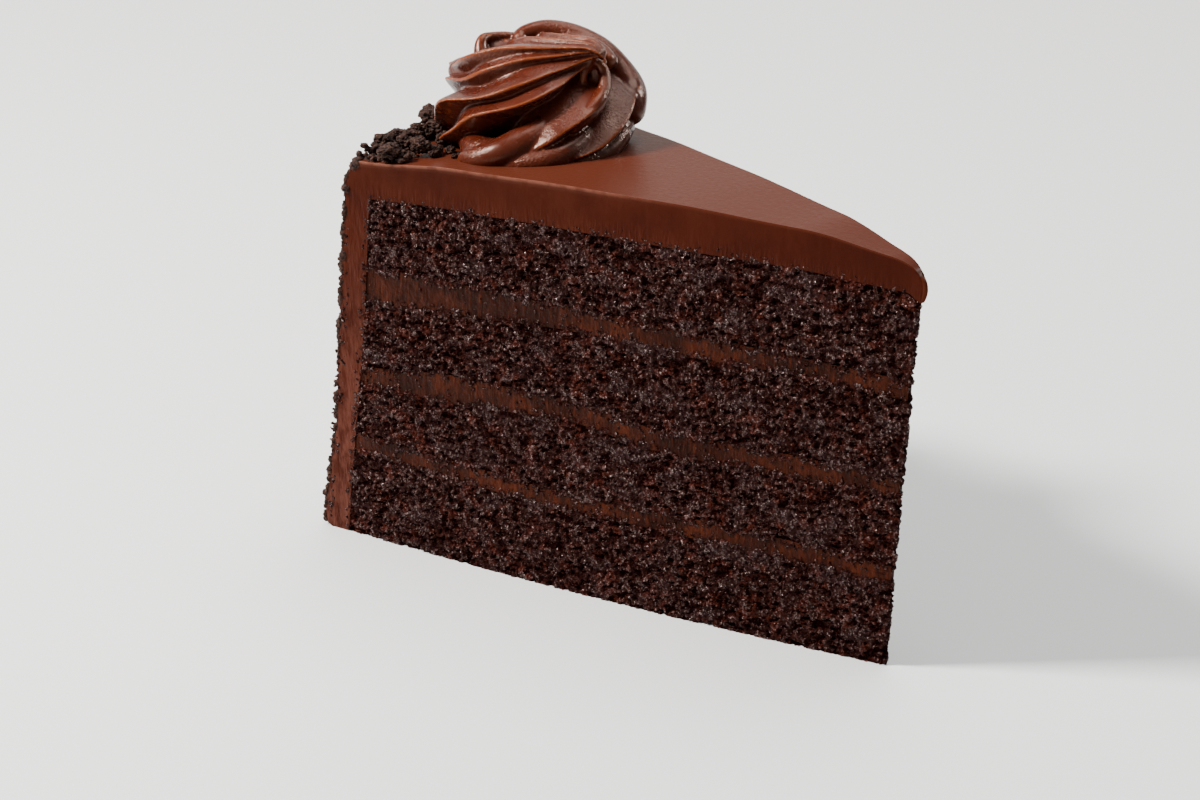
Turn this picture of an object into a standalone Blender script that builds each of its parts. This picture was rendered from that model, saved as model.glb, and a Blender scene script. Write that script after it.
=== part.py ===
"""Slice of a tall four-layer chocolate cake: sponge, fudge fillings, frosting, crumb border and piped rosette.

The slice is a wedge cut from a round cake. Its rim is at -X, its tip points to +X, and its two cut
faces look to -Y (front) and +Y (back). It stands on z = 0, with the origin under the middle of its box.
Every solid is a block of cells, raised step by step from a flat grid, whose points are then laid on the
wedge by a formula: u runs from the rim (0) to the tip (1), t from the front cut face (-1) to the back
one (1), and w from the bottom of the piece (0) to its top (1).
"""

import math

import bmesh
import bpy

# Driving dimensions of the slice, in metres and radians
CUT_LENGTH = 0.140                       # tip to the top rim corner along a cut face
HALF_ANGLE = math.pi / 14                # one of fourteen slices of the round cake
TIP_X = 0.0678                           # where the cut faces would meet, at the foot
TIP_Y = -0.0006
TIP_BLUNTING = 0.0013                    # how far the rounded tip keeps the back cut face from the front one
LEAN = 0.0079                            # how far the top of the slice leans towards its tip, per 100 mm
FLARE = 0.0037                           # how much less the tip leans than the rim, per 100 mm
FRONT_BOW = 0.0026                       # the foot of the front face swells outwards at mid-length
RIM_THICKNESS = 0.0060                   # frosting on the outside of the cake
FOOT_SWELL = 0.0022                      # the rim frosting is thicker at its foot
FOOT_ROUNDING = 0.0035
RIM_TOP_ROUNDING = 0.0030
DRAPE_OVERHANG = 0.0020                  # the top frosting hangs this far over the tip
DRAPE_DROP = 0.0045                      # and this far down it
GAP = 0.0003                             # kept between neighbouring solids
FLAT = 0.100                             # height that LEAN and FLARE are given for

# Height of each boundary between layers at even steps from the rim to the tip, in metres
LOWER_FILLING_FOOT = (0.0215, 0.0206, 0.0196, 0.0203, 0.0201, 0.0198)
LOWER_FILLING_TOP = (0.0247, 0.0231, 0.0220, 0.0230, 0.0230, 0.0226)
MIDDLE_FILLING_FOOT = (0.0384, 0.0389, 0.0410, 0.0383, 0.0394, 0.0400)
MIDDLE_FILLING_TOP = (0.0414, 0.0439, 0.0440, 0.0415, 0.0426, 0.0426)
UPPER_FILLING_FOOT = (0.0588, 0.0607, 0.0622, 0.0617, 0.0625, 0.0621)
UPPER_FILLING_TOP = (0.0660, 0.0660, 0.0658, 0.0654, 0.0649, 0.0646)
FROSTING_FOOT = (0.0836, 0.0848, 0.0852, 0.0854, 0.0860, 0.0853)
FROSTING_TOP = (0.0914, 0.0935, 0.0943, 0.0945, 0.0940, 0.0912)

# The rosette: a star of ridges that twists as it rises and ends in an eye, which leans to the tip
ROSETTE_X = -0.1027                      # middle of its foot, measured from the tip
ROSETTE_Y = 0.0046
ROSETTE_RIDGES = 11
RIDGE_POINTS = 6                         # points across one ridge
ROSETTE_TWIST = math.radians(165)
RIDGE_DEPTH = 0.24                       # share of the radius
LEAN_HEADING = math.radians(5)           # direction of the eye, seen from above
# Stations from foot to eye: radius, height above the cake, offset towards the eye, tilt in degrees
ROSETTE_STATIONS = (
    (0.0170, 0.0000, 0.0000, 0.0),
    (0.0212, 0.0022, 0.0000, 0.0),
    (0.0230, 0.0062, 0.0003, 2.0),
    (0.0226, 0.0108, 0.0010, 6.0),
    (0.0203, 0.0150, 0.0024, 13.0),
    (0.0162, 0.0181, 0.0048, 22.0),
    (0.0112, 0.0202, 0.0082, 32.0),
    (0.0068, 0.0213, 0.0113, 42.0),
    (0.0036, 0.0219, 0.0138, 52.0),
    (0.0022, 0.0214, 0.0160, 66.0),
)
RINGS_PER_STATION = 2

# The border of cookie crumbs on the rim of the top
CRUMB_HEIGHT = 0.0058
CRUMB_BAND = 0.0052                      # its depth behind the rosette
CRUMB_CORNER_BAND = 0.0150               # its depth at the two cut faces

COLOURS = {
    "sponge": (0.035, 0.013, 0.010),
    "fudge": (0.042, 0.014, 0.010),
    "frosting": (0.085, 0.024, 0.010),
    "crumb": (0.018, 0.010, 0.008),
}


def make_material(name, roughness):
    """A Principled material in one of the food's colours."""
    material = bpy.data.materials.new(name)
    material.use_nodes = True
    shader = material.node_tree.nodes["Principled BSDF"]
    shader.inputs["Base Color"].default_value = (*COLOURS[name], 1.0)
    shader.inputs["Roughness"].default_value = roughness
    shader.inputs["Metallic"].default_value = 0.0
    return material


def smooth_step(x):
    """0 below 0, 1 above 1, and a smooth rise between."""
    x = min(max(x, 0.0), 1.0)
    return x * x * (3.0 - 2.0 * x)


def between(values, share):
    """Value at a share (0 to 1) of the way along evenly spaced values, on a smooth curve."""
    place = min(max(share, 0.0), 1.0) * (len(values) - 1)
    i = min(int(place), len(values) - 2)
    return values[i] + (values[i + 1] - values[i]) * smooth_step(place - i)


def on_wedge(radius, t, z):
    """World point at a distance from the tip, a place t across the wedge, and a height."""
    u = 1.0 - radius / CUT_LENGTH
    angle = t * HALF_ANGLE
    lean = (LEAN + FLARE * (0.5 - u)) * z / FLAT
    bow = FRONT_BOW * math.sin(math.pi * min(max(u, 0.0), 1.0)) * max(0.0, 1.0 - z / 0.045) ** 1.5
    across = TIP_BLUNTING * (t + 1.0) / 2.0 - bow * (1.0 - t) / 2.0
    return (TIP_X - radius * math.cos(angle) + lean, TIP_Y + radius * math.sin(angle) + across, z)


def rim_inside(z):
    """Radius of the sponge, which grows a little towards the foot."""
    return CUT_LENGTH + 0.0014 - RIM_THICKNESS + 0.0018 * (1.0 - smooth_step(z / 0.060))


def rim_outside(z):
    """Outer radius of the rim frosting, with its rounded foot."""
    swell = FOOT_SWELL * (1.0 - smooth_step(z / 0.030))
    under = max(0.0, 1.0 - z / FOOT_ROUNDING)
    return CUT_LENGTH + 0.0014 + swell - FOOT_ROUNDING * (1.0 - math.sqrt(1.0 - under * under)) * 0.6


def raise_faces(bm, faces, keep_old):
    """Extrudes faces in place; the old ones stay only as the floor of the first step."""
    raised = bmesh.ops.extrude_face_region(bm, geom=faces)["geom"]
    if not keep_old:
        bmesh.ops.delete(bm, geom=faces, context="FACES")
    new_faces = [item for item in raised if isinstance(item, bmesh.types.BMFace)]
    new_verts = [item for item in raised if isinstance(item, bmesh.types.BMVert)]
    return new_faces, new_verts


def block(u_steps, t_steps, w_steps):
    """A closed unit block of cells, raised from a grid; its points hold u, t and w."""
    bm = bmesh.new()
    bmesh.ops.create_grid(bm, x_segments=u_steps, y_segments=t_steps, size=0.5)
    for vert in bm.verts:
        vert.co.x += 0.5
        vert.co.y *= 2.0
    top = bm.faces[:]
    for step in range(w_steps):
        top, new_verts = raise_faces(bm, top, keep_old=step == 0)
        bmesh.ops.translate(bm, verts=new_verts, vec=(0.0, 0.0, 1.0 / w_steps))
    return bm


def add_object(bm, name, material, parent, collection, smooth_angle=35.0):
    """Turns a finished bmesh into a named object of the slice."""
    bmesh.ops.recalc_face_normals(bm, faces=bm.faces)
    mesh = bpy.data.meshes.new(name)
    bm.to_mesh(mesh)
    bm.free()
    mesh.shade_smooth()
    mesh.set_sharp_from_angle(angle=math.radians(smooth_angle))
    mesh.materials.append(material)
    obj = bpy.data.objects.new(name, mesh)
    obj.parent = parent
    collection.objects.link(obj)
    return obj


def layer_block(foot, top, steps=22):
    """A layer inside the rim frosting, between two boundaries given as heights along the slice."""
    bm = block(steps, 3, 1)
    for vert in bm.verts:
        u, t, w = vert.co
        z = between(foot, u) + GAP / 2 if w < 0.5 else between(top, u) - GAP / 2
        if foot[0] == 0.0 and w < 0.5:
            z = 0.0
        radius = (rim_inside(z) - GAP / 2) * (1.0 - u) + TIP_BLUNTING / 2 * u
        vert.co = on_wedge(radius, t, z)
    return bm


def top_frosting_block():
    """The thick frosting on top: crisp at the cut faces, rounded at the rim, hanging over the tip."""
    steps = 24
    bm = block(steps, 4, 3)
    for vert in bm.verts:
        place, t, w = vert.co
        u = min(place * steps / (steps - 1), 1.0)
        foot = between(FROSTING_FOOT, u) + GAP / 2
        top = between(FROSTING_TOP, u)
        z = foot + (top - foot) * w
        rim = CUT_LENGTH + 0.0014 - RIM_TOP_ROUNDING * w ** 3
        x, y, z = on_wedge(rim * (1.0 - u), t, z)
        if place > 0.99:
            x += DRAPE_OVERHANG * (1.0 - 0.5 * w * w)
            y = TIP_Y + (y - TIP_Y) * 0.6
            z -= DRAPE_DROP * (1.0 - w) ** 2
        vert.co = (x, y, z)
    return bm


def side_frosting_block():
    """The frosting round the rim, from the foot to the underside of the top frosting."""
    bm = block(14, 10, 1)
    for vert in bm.verts:
        u, t, w = vert.co
        top = FROSTING_FOOT[0] - GAP / 2
        z = top * u
        radius = rim_inside(z) + GAP / 2 if w < 0.5 else rim_outside(z)
        vert.co = on_wedge(radius, t, z)
    return bm


def crumb_border_block():
    """The heap of cookie crumbs along the rim of the top, out to its uneven outline."""
    bm = block(6, 26, 2)
    for vert in bm.verts:
        u, t, w = vert.co
        band = CRUMB_BAND + (CRUMB_CORNER_BAND - CRUMB_BAND) * smooth_step((abs(t) - 0.35) / 0.6)
        radius = CUT_LENGTH - 0.0022 - band * u
        share = 1.0 - radius / CUT_LENGTH
        floor = between(FROSTING_TOP, share) + GAP
        lumps = 0.72 + 0.28 * math.sin(31.0 * t + 9.0 * u) * math.cos(17.0 * t - 5.0 * u)
        arch = math.sqrt(max(0.0, 1.0 - (2.0 * u - 1.0) ** 4)) * (1.0 - 0.25 * u)
        ends = math.sqrt(max(0.0, 1.0 - t ** 10))
        height = 0.0008 + CRUMB_HEIGHT * lumps * arch * ends
        x, y, _ = on_wedge(radius, t * 0.985, floor)
        vert.co = (x, y, floor + height * w)
    return bm


def ridge(share):
    """Height of a ridge at a share of the way across it: a sharp crest between rounded valleys."""
    return abs(2.0 * (share % 1.0) - 1.0) ** 1.3


def rosette_ring(place):
    """Points of the rosette's star at a place from 0 (foot) to 1 (eye)."""
    radius, height, offset, tilt = (
        between([station[i] for station in ROSETTE_STATIONS], place) for i in range(4))
    tilt = math.radians(tilt)
    points = []
    count = ROSETTE_RIDGES * RIDGE_POINTS
    for i in range(count):
        angle = 2.0 * math.pi * i / count + ROSETTE_TWIST * place
        reach = radius * (1.0 - RIDGE_DEPTH * (1.0 - ridge(i / RIDGE_POINTS)))
        along = reach * math.cos(angle - LEAN_HEADING)
        aside = reach * math.sin(angle - LEAN_HEADING)
        forward = offset + along * math.cos(tilt)
        x = ROSETTE_X + forward * math.cos(LEAN_HEADING) - aside * math.sin(LEAN_HEADING)
        y = ROSETTE_Y + forward * math.sin(LEAN_HEADING) + aside * math.cos(LEAN_HEADING)
        z = height - along * math.sin(tilt)
        floor = between(FROSTING_TOP, 1.0 + x / CUT_LENGTH) + GAP
        points.append((TIP_X + x, TIP_Y + y, floor + z))
    return points


def rosette_block():
    """The piped rosette: its star is drawn up ring by ring and closed at the eye."""
    count = ROSETTE_RIDGES * RIDGE_POINTS
    rings = (len(ROSETTE_STATIONS) - 1) * RINGS_PER_STATION
    bm = bmesh.new()
    bmesh.ops.create_circle(bm, cap_ends=True, segments=count, radius=1.0)
    cap = bm.faces[:]
    ring_verts = list(cap[0].verts)
    for k in range(rings + 1):
        if k > 0:
            cap, _ = raise_faces(bm, cap, keep_old=k == 1)
            ring_verts = list(cap[0].verts)
        for vert, point in zip(ring_verts, rosette_ring(k / rings)):
            vert.co = point
    bmesh.ops.poke(bm, faces=cap)
    return bm


def main():
    for obj in list(bpy.data.objects):
        bpy.data.objects.remove(obj, do_unlink=True)
    collection = bpy.data.collections.new("chocolate_cake_slice")
    bpy.context.scene.collection.children.link(collection)
    slice_empty = bpy.data.objects.new("slice", None)
    collection.objects.link(slice_empty)

    sponge = make_material("sponge", 0.85)
    fudge = make_material("fudge", 0.45)
    frosting = make_material("frosting", 0.35)
    crumb = make_material("crumb", 0.80)

    board = (0.0,) * len(FROSTING_FOOT)
    sponges = (
        (board, LOWER_FILLING_FOOT),
        (LOWER_FILLING_TOP, MIDDLE_FILLING_FOOT),
        (MIDDLE_FILLING_TOP, UPPER_FILLING_FOOT),
        (UPPER_FILLING_TOP, FROSTING_FOOT),
    )
    for number, (foot, top) in enumerate(sponges, start=1):
        add_object(layer_block(foot, top), f"sponge_{number}", sponge, slice_empty, collection)
    fillings = (
        (LOWER_FILLING_FOOT, LOWER_FILLING_TOP),
        (MIDDLE_FILLING_FOOT, MIDDLE_FILLING_TOP),
        (UPPER_FILLING_FOOT, UPPER_FILLING_TOP),
    )
    for number, (foot, top) in enumerate(fillings, start=1):
        add_object(layer_block(foot, top), f"filling_{number}", fudge, slice_empty, collection)
    add_object(side_frosting_block(), "side_frosting", frosting, slice_empty, collection)
    add_object(top_frosting_block(), "top_frosting", frosting, slice_empty, collection)
    add_object(crumb_border_block(), "crumb_border", crumb, slice_empty, collection)
    add_object(rosette_block(), "rosette", frosting, slice_empty, collection, smooth_angle=60.0)


main()
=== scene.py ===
"""Looks of a slice of chocolate layer cake: sponge, fudge, frosting, crumbs and a piped rosette.

Every piece is laid on the same wedge as the solids of the frame. A place on the wedge is a share u
from the rim (0) to the tip (1), a share t from the front cut face (-1) to the back one (1), and a
height.
"""

import logging
import math
import random
from dataclasses import dataclass
from enum import Enum

import bpy
import numpy as np
from mathutils import Matrix, Vector


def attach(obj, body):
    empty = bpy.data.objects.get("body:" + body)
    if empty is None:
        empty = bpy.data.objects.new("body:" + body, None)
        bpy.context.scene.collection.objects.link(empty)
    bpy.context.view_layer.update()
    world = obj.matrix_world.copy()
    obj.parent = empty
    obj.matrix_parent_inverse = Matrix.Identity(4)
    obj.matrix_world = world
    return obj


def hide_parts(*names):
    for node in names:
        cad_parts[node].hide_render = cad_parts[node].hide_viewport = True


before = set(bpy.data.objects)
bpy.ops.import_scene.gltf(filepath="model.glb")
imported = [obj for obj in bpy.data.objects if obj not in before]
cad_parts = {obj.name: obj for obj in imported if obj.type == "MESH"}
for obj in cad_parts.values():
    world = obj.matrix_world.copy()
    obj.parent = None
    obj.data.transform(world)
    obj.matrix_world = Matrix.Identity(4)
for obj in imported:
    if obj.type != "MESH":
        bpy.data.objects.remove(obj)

LOG = logging.getLogger("cake")
MM = 0.001

Colour = tuple[float, float, float]
Rows = tuple[tuple[float, ...], ...]
Array = np.ndarray
Shape = tuple[Array, Array]
Place = tuple[Vector, float, float]
Number = np.ndarray | float
Piece = bpy.types.Object
Material = bpy.types.Material
Tree = bpy.types.NodeTree
Node = bpy.types.Node
Socket = bpy.types.NodeSocket


# ---- helpers for meshes


def smooth_step(x: Number) -> Array:
    """0 below 0, 1 above 1, and a smooth rise between."""
    x = np.clip(x, 0.0, 1.0)
    return x * x * (3.0 - 2.0 * x)


def along(values: tuple[float, ...], share: Array) -> Array:
    """Reads evenly spaced values on a smooth curve.

    Args:
        values: The values at even steps from share 0 to share 1.
        share: Where to read them.

    Returns:
        The value at each share.
    """
    table = np.asarray(values)
    place = np.clip(share, 0.0, 1.0) * (len(values) - 1)
    step = np.minimum(place.astype(int), len(values) - 2)
    return table[step] + (table[step + 1] - table[step]) * smooth_step(place - step)


def ragged(place: Array, seed: Number, height: float) -> Array:
    """An irregular wave along a length in millimetres.

    Args:
        place: Where to read the wave.
        seed: Picks another wave.
        height: About how far the wave swings either way.

    Returns:
        The wave's height at each place.
    """
    wave = np.zeros_like(place)
    for step, length in enumerate((13.0, 7.1, 4.3, 2.6, 1.7)):
        wave += np.sin(place * 2.0 * math.pi / length + seed * (2.3 + step) + step) * length ** 0.35
    return wave * height / 3.5


def deselect() -> None:
    """Leaves nothing selected."""
    bpy.ops.object.select_all(action="DESELECT")


def make_active(obj: Piece) -> None:
    """Selects one object alone and makes it the active one.

    Args:
        obj: The object.
    """
    deselect()
    obj.select_set(True)
    bpy.context.view_layer.objects.active = obj


def apply_modifiers(obj: Piece) -> None:
    """Applies every modifier of an object, from the top down.

    Args:
        obj: The object.
    """
    make_active(obj)
    for modifier in list(obj.modifiers):
        bpy.ops.object.modifier_apply(modifier=modifier.name)


def points_of(obj: Piece) -> Array:
    """Reads the object's points.

    Args:
        obj: The object.

    Returns:
        The points as an array of one row each.
    """
    flat = np.empty(len(obj.data.vertices) * 3)
    obj.data.vertices.foreach_get("co", flat)
    return flat.reshape(-1, 3)


def set_points(obj: Piece, points: Array) -> None:
    """Moves the object's points to the rows of an array."""
    obj.data.vertices.foreach_set("co", np.ascontiguousarray(points).ravel())
    obj.data.update()


def lay_out(obj: Piece, points: Array, **attributes: Array) -> None:
    """Moves the object's points and stores numbers or vectors on them.

    Args:
        obj: The object.
        points: A place for each point.
        **attributes: A number or a vector for each point, under the attribute's name.
    """
    set_points(obj, points)
    for name, values in attributes.items():
        kind, field = ("FLOAT_VECTOR", "vector") if values.ndim == 2 else ("FLOAT", "value")
        layer = obj.data.attributes.new(name, kind, "POINT")
        layer.data.foreach_set(field, np.ascontiguousarray(values).ravel())


def block_places(obj: Piece) -> tuple[Array, Array, Array]:
    """Shares u, t and w of a block's points, with its cells drawn towards the cut faces."""
    u, across, w = points_of(obj).T
    return u, np.sin(across * math.pi / 2), w


def extrude_up(steps: int, rise: float) -> None:
    """Raises the active object's face in even steps.

    Args:
        steps: How many steps.
        rise: Height of each step.
    """
    bpy.ops.object.mode_set(mode="EDIT")
    bpy.ops.mesh.select_all(action="SELECT")
    for _ in range(steps):
        bpy.ops.mesh.extrude_region_move(TRANSFORM_OT_translate={"value": (0.0, 0.0, rise)})
    bpy.ops.object.mode_set(mode="OBJECT")


def unit_block(name: str, u_steps: int, t_steps: int, w_steps: int) -> Piece:
    """Raises a closed block of cells from a grid, to be laid on the wedge.

    Args:
        name: Name of the piece.
        u_steps: Cells along x, from 0 to 1.
        t_steps: Cells along y, from -1 to 1.
        w_steps: Cells along z, from 0 to 1.

    Returns:
        The block, whose points hold u, t and w.
    """
    deselect()
    bpy.ops.mesh.primitive_grid_add(x_subdivisions=u_steps, y_subdivisions=t_steps, size=1.0)
    obj = bpy.context.active_object
    obj.name = obj.data.name = name
    extrude_up(w_steps, 1.0 / w_steps)
    points = points_of(obj)
    points[:, 0] += 0.5
    points[:, 1] *= 2.0
    set_points(obj, points)
    return obj


def close_and_shade(obj: Piece, angle: float = 40.0) -> None:
    """Turns all faces outwards and shades them smooth.

    Args:
        obj: The object.
        angle: Angle in degrees up to which edges are smooth.
    """
    make_active(obj)
    bpy.ops.object.mode_set(mode="EDIT")
    bpy.ops.mesh.select_all(action="SELECT")
    bpy.ops.mesh.normals_make_consistent(inside=False)
    bpy.ops.object.mode_set(mode="OBJECT")
    bpy.ops.object.shade_smooth_by_angle(angle=math.radians(angle))


def mesh_from_arrays(name: str, points: Array, faces: Array) -> Piece:
    """Makes an object from joined copies of a modelled shape.

    Args:
        name: Name of the object.
        points: Its points.
        faces: Its triangles.

    Returns:
        The object.
    """
    mesh = bpy.data.meshes.new(name)
    mesh.vertices.add(len(points))
    mesh.vertices.foreach_set("co", points.ravel())
    mesh.loops.add(faces.size)
    mesh.loops.foreach_set("vertex_index", faces.ravel().astype(np.int32))
    mesh.polygons.add(len(faces))
    mesh.polygons.foreach_set("loop_start", np.arange(0, faces.size, 3, dtype=np.int32))
    mesh.update(calc_edges=True)
    mesh.shade_smooth()
    obj = bpy.data.objects.new(name, mesh)
    bpy.context.scene.collection.objects.link(obj)
    return obj


def finish_piece(obj: Piece, material: Material, slot: str, *nodes: str) -> None:
    """Dresses a piece, lets it ride on the slice and hides the solids it stands for.

    Args:
        obj: The piece.
        material: Its finish.
        slot: Not used.
        *nodes: The solids it stands for.
    """
    obj.data.materials.clear()
    obj.data.materials.append(material)
    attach(obj, "root")
    if nodes:
        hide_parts(*nodes)
    LOG.info("%s: %d faces", obj.name, len(obj.data.polygons))


# ---- helpers for node trees


class Graph:
    """Adds nodes to a tree and joins them, one value after the other."""

    def __init__(self, tree: Tree) -> None:
        """Starts on a tree."""
        self.tree = tree

    def add(self, kind: str, settings: dict | None = None, **sockets: object) -> Node:
        """Adds a node.

        Args:
            kind: Blender's name of the node type.
            settings: Properties of the node itself.
            **sockets: Input sockets by name, with _ for a space; each takes a value or a socket.

        Returns:
            The new node.
        """
        node = self.tree.nodes.new(kind)
        for key, value in (settings or {}).items():
            setattr(node, key, value)
        self.fill(node, **sockets)
        return node

    def fill(self, node: Node, **sockets: object) -> None:
        """Sets or links a node's inputs by name, with _ for a space."""
        for key, value in sockets.items():
            self.feed(node.inputs[key.replace("_", " ")], value)

    def feed(self, socket: Socket, value: object) -> None:
        """Links a socket into an input, or sets the input to a plain value.

        Args:
            socket: The input.
            value: A plain value or a socket.
        """
        if isinstance(value, Socket):
            self.tree.links.new(value, socket)
        else:
            socket.default_value = value

    def math(self, operation: str, *values: object) -> Socket:
        """Adds a Math node.

        Args:
            operation: Blender's name of the operation.
            *values: One to three values or sockets.

        Returns:
            The result.
        """
        node = self.tree.nodes.new("ShaderNodeMath")
        node.operation = operation
        for socket, value in zip(node.inputs, values):
            self.feed(socket, value)
        return node.outputs[0]

    def vector(self, operation: str, first: object, second: object) -> Socket:
        """Adds a Vector Math node.

        Args:
            operation: Blender's name of the operation.
            first: The first vector.
            second: The second vector, or the scale.

        Returns:
            The result.
        """
        node = self.tree.nodes.new("ShaderNodeVectorMath")
        node.operation = operation
        self.feed(node.inputs[0], first)
        self.feed(node.inputs["Scale"] if operation == "SCALE" else node.inputs[1], second)
        return node.outputs[0]

    def noise(self, place: object, size: float, detail: float = 2.0, rough: float = 0.5,
              stretch: tuple[float, float, float] = (1.0, 1.0, 1.0), output: str = "Fac") -> Socket:
        """Adds a noise.

        Args:
            place: Where to read it.
            size: About the size of its features.
            detail: How many finer layers it has.
            rough: Strength of each finer layer.
            stretch: How much longer the features are along each axis.
            output: Name of the node's output.

        Returns:
            The noise.
        """
        where = self.vector("MULTIPLY", place, tuple(1.0 / (size * s) for s in stretch))
        node = self.add("ShaderNodeTexNoise", {"noise_dimensions": "3D"},
                        Vector=where, Scale=1.0, Detail=detail, Roughness=rough)
        return node.outputs[output]

    def cells(self, place: object, size: float) -> Socket:
        """Adds a pattern of uneven cells.

        Args:
            place: Where to read it.
            size: About the size of a cell.

        Returns:
            The distance to the heart of the nearest cell.
        """
        where = self.vector("SCALE", place, 1.0 / size)
        node = self.add("ShaderNodeTexVoronoi", {"feature": "F1"}, Vector=where, Scale=1.0)
        return node.outputs["Distance"]

    def bend(self, place: object, size: float, amount: float) -> Socket:
        """Shifts a place unevenly, so that cells lose their straight sides.

        Args:
            place: The place.
            size: Length over which the shift changes.
            amount: About twice the largest shift.

        Returns:
            The shifted place.
        """
        drift = self.vector("SUBTRACT", self.noise(place, size, output="Color"), (0.5, 0.5, 0.5))
        return self.vector("ADD", place, self.vector("SCALE", drift, amount))

    def attribute(self, name: str) -> Socket:
        """A number stored on the piece, inside a material."""
        return self.add("ShaderNodeAttribute", {"attribute_name": name}).outputs["Fac"]

    def bump(self, strength: object, depth: float, height: Socket, **under: Socket) -> Socket:
        """Shakes the normal by a height.

        Args:
            strength: Strength of the bump.
            depth: Its depth in metres.
            height: The height, from 0 to 1.
            **under: The Normal underneath, if any.

        Returns:
            The shaken normal.
        """
        node = self.add("ShaderNodeBump", Strength=strength, Distance=depth, Height=height,
                        **under)
        return node.outputs[0]

    def ramp(self, value: object, low: float, high: float, start: float = 0.0,
             end: float = 1.0) -> Socket:
        """Adds a smooth change between two values.

        Args:
            value: What drives the change.
            low: Its value at the start.
            high: Its value at the end.
            start: The result at the start.
            end: The result at the end.

        Returns:
            The result.
        """
        node = self.add("ShaderNodeMapRange", {"interpolation_type": "SMOOTHSTEP"}, Value=value,
                        From_Min=low, From_Max=high, To_Min=start, To_Max=end)
        return node.outputs["Result"]

    def mix(self, share: object, first: object, second: object) -> Socket:
        """Mixes two colours.

        Args:
            share: Share of the second colour.
            first: The first colour.
            second: The second colour.

        Returns:
            The mixed colour.
        """
        node = self.tree.nodes.new("ShaderNodeMix")
        node.data_type = "RGBA"
        self.feed(node.inputs["Factor"], share)
        self.feed(node.inputs["A"], (*first, 1.0) if isinstance(first, tuple) else first)
        self.feed(node.inputs["B"], (*second, 1.0) if isinstance(second, tuple) else second)
        return node.outputs["Result"]


def new_material(name: str) -> tuple[Material, Graph, Node]:
    """Makes an empty material.

    Args:
        name: Name of the material.

    Returns:
        The material, its graph and its Principled shader.
    """
    material = bpy.data.materials.new(name)
    material.use_nodes = True
    shader = material.node_tree.nodes["Principled BSDF"]
    return material, Graph(material.node_tree), shader


def geometry_tree(name: str) -> tuple[Tree, Graph, Socket]:
    """Makes an empty Geometry Nodes tree.

    Args:
        name: Name of the tree.

    Returns:
        The tree, its graph and its incoming geometry.
    """
    tree = bpy.data.node_groups.new(name, "GeometryNodeTree")
    tree.interface.new_socket(name="Geometry", in_out="INPUT", socket_type="NodeSocketGeometry")
    tree.interface.new_socket(name="Geometry", in_out="OUTPUT", socket_type="NodeSocketGeometry")
    graph = Graph(tree)
    return tree, graph, graph.add("NodeGroupInput").outputs["Geometry"]


def read_attribute(graph: Graph, name: str, kind: str = "FLOAT") -> Socket:
    """A named attribute inside a Geometry Nodes tree."""
    node = graph.add("GeometryNodeInputNamedAttribute", {"data_type": kind}, Name=name)
    return node.outputs["Attribute"]


def raise_relief(graph: Graph, geometry: Socket, height: Socket) -> None:
    """Moves the points outwards by a height in millimetres and stores that height as relief.

    Args:
        graph: Graph of the tree.
        geometry: The geometry.
        height: The height of each point.
    """
    exposed = graph.math("MULTIPLY", height, read_attribute(graph, "exposed"))
    push = graph.vector("SCALE", read_attribute(graph, "outward", "FLOAT_VECTOR"),
                        graph.math("MULTIPLY", exposed, MM))
    moved = graph.add("GeometryNodeSetPosition", Geometry=geometry, Offset=push)
    stored = graph.add("GeometryNodeStoreNamedAttribute", {"data_type": "FLOAT", "domain": "POINT"},
                       Geometry=moved.outputs[0], Name="relief", Value=exposed)
    graph.add("NodeGroupOutput", Geometry=stored.outputs[0])


def add_relief(obj: Piece, tree: Tree) -> None:
    """Runs a relief tree on a piece and applies it.

    Args:
        obj: The piece.
        tree: The relief tree.
    """
    modifier = obj.modifiers.new("relief", "NODES")
    modifier.node_group = tree
    apply_modifiers(obj)


# ---- finishes


# Size, detail, roughness and stretch of the patches where the sponge is denser.
DENSE = (6.5 * MM, 2.0, 0.5, (1.5, 1.5, 0.8))


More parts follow.
